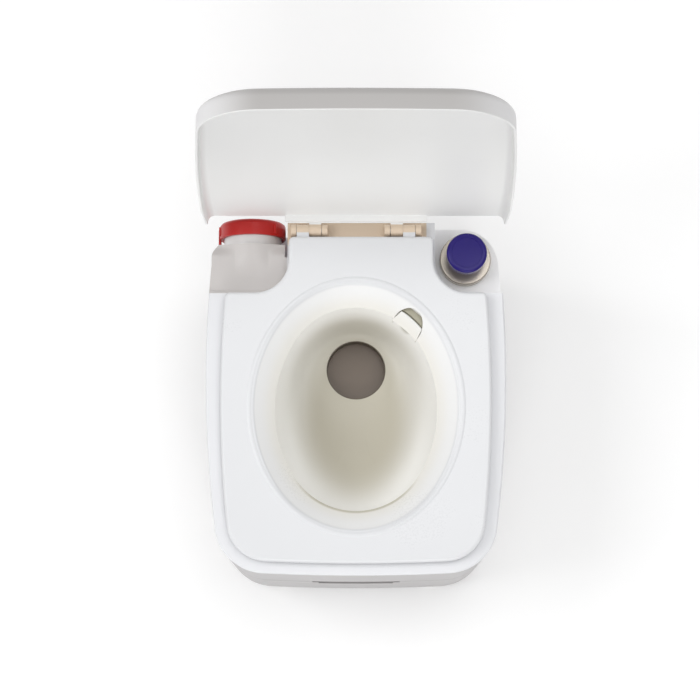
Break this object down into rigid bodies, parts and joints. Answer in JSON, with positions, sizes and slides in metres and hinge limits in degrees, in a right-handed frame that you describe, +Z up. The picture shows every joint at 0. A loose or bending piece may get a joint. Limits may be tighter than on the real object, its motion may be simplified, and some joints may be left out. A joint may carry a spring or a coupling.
{
  "type": "portable toilet",
  "caption": "Portable two-tank toilet with a hinged seat and lid, a slide valve below the bowl, a plunger flush pump, a screw filler cap, side latches and a swivelling pour spout.",
  "frame": {"origin": "middle of the part's own box on the floor, with the lid open", "axes": "+Z up, -Y towards the user's feet at the front, +X to the right as seen from the front"},
  "size_m": [0.3742, 0.4903, 0.7385],
  "materials": {
    "tank_white": "satin moulded plastic",
    "deck_white": "smooth moulded plastic",
    "seat_white": "smooth moulded plastic",
    "lid_white": "smooth moulded plastic",
    "feet_white": "soft pale rubber",
    "bumper_grey": "soft grey rubber",
    "valve_grey": "worn matt plastic",
    "seal_black": "black rubber",
    "steel": "plain wire and turned steel",
    "cap_red": "moulded plastic",
    "pump_blue": "moulded plastic",
    "pump_grey": "moulded plastic",
    "fitting_white": "moulded plastic",
    "spout_grey": "moulded plastic"
  },
  "bodies": {
    "waste_tank": {"waste_tank_shell": "tank_white", "waste_tank_top": "tank_white", "tank_feet": "feet_white", "valve_base": "valve_grey", "valve_cover": "valve_grey", "valve_screws": "steel", "valve_seal": "seal_black", "spout_seal": "seal_black", "vent_sleeve": "fitting_white", "vent_spring": "steel", "latch_pins": "steel"},
    "valve_slide": {"valve_blade": "valve_grey", "valve_handle": "valve_grey"},
    "spout": {"pour_spout": "fitting_white"},
    "spout_cap_seal": {"spout_gasket": "seal_black"},
    "spout_cap_body": {"spout_cap": "spout_grey"},
    "vent_push": {"vent_button": "spout_grey"},
    "latch_left_body": {"latch_left": "fitting_white"},
    "latch_right_body": {"latch_right": "fitting_white"},
    "flush_tank": {"flush_tank_base": "tank_white", "flush_tank_pan": "tank_white", "bowl_deck": "deck_white", "hinge_pins": "steel", "outlet_seal": "seal_black", "pump_barrel": "pump_grey", "pump_collar": "pump_grey", "pump_spring": "steel", "intake_strainer": "pump_grey", "flush_hose": "fitting_white", "flush_nozzle": "fitting_white", "fill_neck": "fitting_white"},
    "pump_plunger": {"pump_knob": "pump_blue", "plunger_tube": "pump_grey", "pump_piston": "pump_grey", "piston_ring": "seal_black"},
    "fill_cap_seal": {"fill_gasket": "seal_black"},
    "fill_cap_body": {"fill_cap": "cap_red"},
    "seat_body": {"seat": "seat_white", "seat_bumpers": "bumper_grey"},
    "lid_body": {"lid": "lid_white"}
  },
  "joints": [
    {"name": "tank_lift", "type": "slide", "parent": "waste_tank", "child": "flush_tank", "axis": [0, 0, 1], "range_m": [0, 0.12]},
    {"name": "valve_pull", "type": "slide", "parent": "waste_tank", "child": "valve_slide", "axis": [0, -1, 0], "range_m": [0, 0.085]},
    {"name": "spout_swing", "type": "hinge", "parent": "waste_tank", "child": "spout", "pos_m": [-0.14, 0.16, 0.1], "axis": [0, 0, 1], "range_deg": [0, 90]},
    {"name": "spout_cap_travel", "type": "slide", "parent": "spout", "child": "spout_cap_seal", "axis": [1, 0, 0], "range_m": [0, 0.006]},
    {"name": "spout_cap_turn", "type": "hinge", "parent": "spout_cap_seal", "child": "spout_cap_body", "pos_m": [-0.03, 0.16, 0.132], "axis": [1, 0, 0], "range_deg": [0, 360]},
    {"name": "vent_press", "type": "slide", "parent": "waste_tank", "child": "vent_push", "axis": [0, 0, -1], "range_m": [0, 0.004], "stiffness_N_per_m": 600, "deforming": ["vent_spring"]},
    {"name": "latch_left_turn", "type": "hinge", "parent": "waste_tank", "child": "latch_left_body", "pos_m": [-0.174, -0.02, 0.146], "axis": [-1, 0, 0], "range_deg": [-90, 0]},
    {"name": "latch_right_turn", "type": "hinge", "parent": "waste_tank", "child": "latch_right_body", "pos_m": [0.174, -0.02, 0.146], "axis": [-1, 0, 0], "range_deg": [-90, 0]},
    {"name": "pump_press", "type": "slide", "parent": "flush_tank", "child": "pump_plunger", "axis": [0, 0, -1], "range_m": [0, 0.025], "stiffness_N_per_m": 400, "deforming": ["pump_spring"]},
    {"name": "fill_cap_travel", "type": "slide", "parent": "flush_tank", "child": "fill_cap_seal", "axis": [0, 1, 0], "range_m": [0, 0.009]},
    {"name": "fill_cap_turn", "type": "hinge", "parent": "fill_cap_seal", "child": "fill_cap_body", "pos_m": [-0.13, 0.176, 0.262], "axis": [0, 1, 0], "range_deg": [0, 540]},
    {"name": "seat_raise", "type": "hinge", "parent": "flush_tank", "child": "seat_body", "pos_m": [0, 0.177, 0.311], "axis": [-1, 0, 0], "range_deg": [0, 92]},
    {"name": "lid_swing", "type": "hinge", "parent": "flush_tank", "child": "lid_body", "pos_m": [0, 0.177, 0.311], "axis": [-1, 0, 0], "range_deg": [-96, 0]}
  ],
  "couplings": [
    {"joint": "spout_cap_travel", "follows": "spout_cap_turn", "m_per_rad": 0.00095493},
    {"joint": "fill_cap_travel", "follows": "fill_cap_turn", "m_per_rad": 0.00095493}
  ]
}
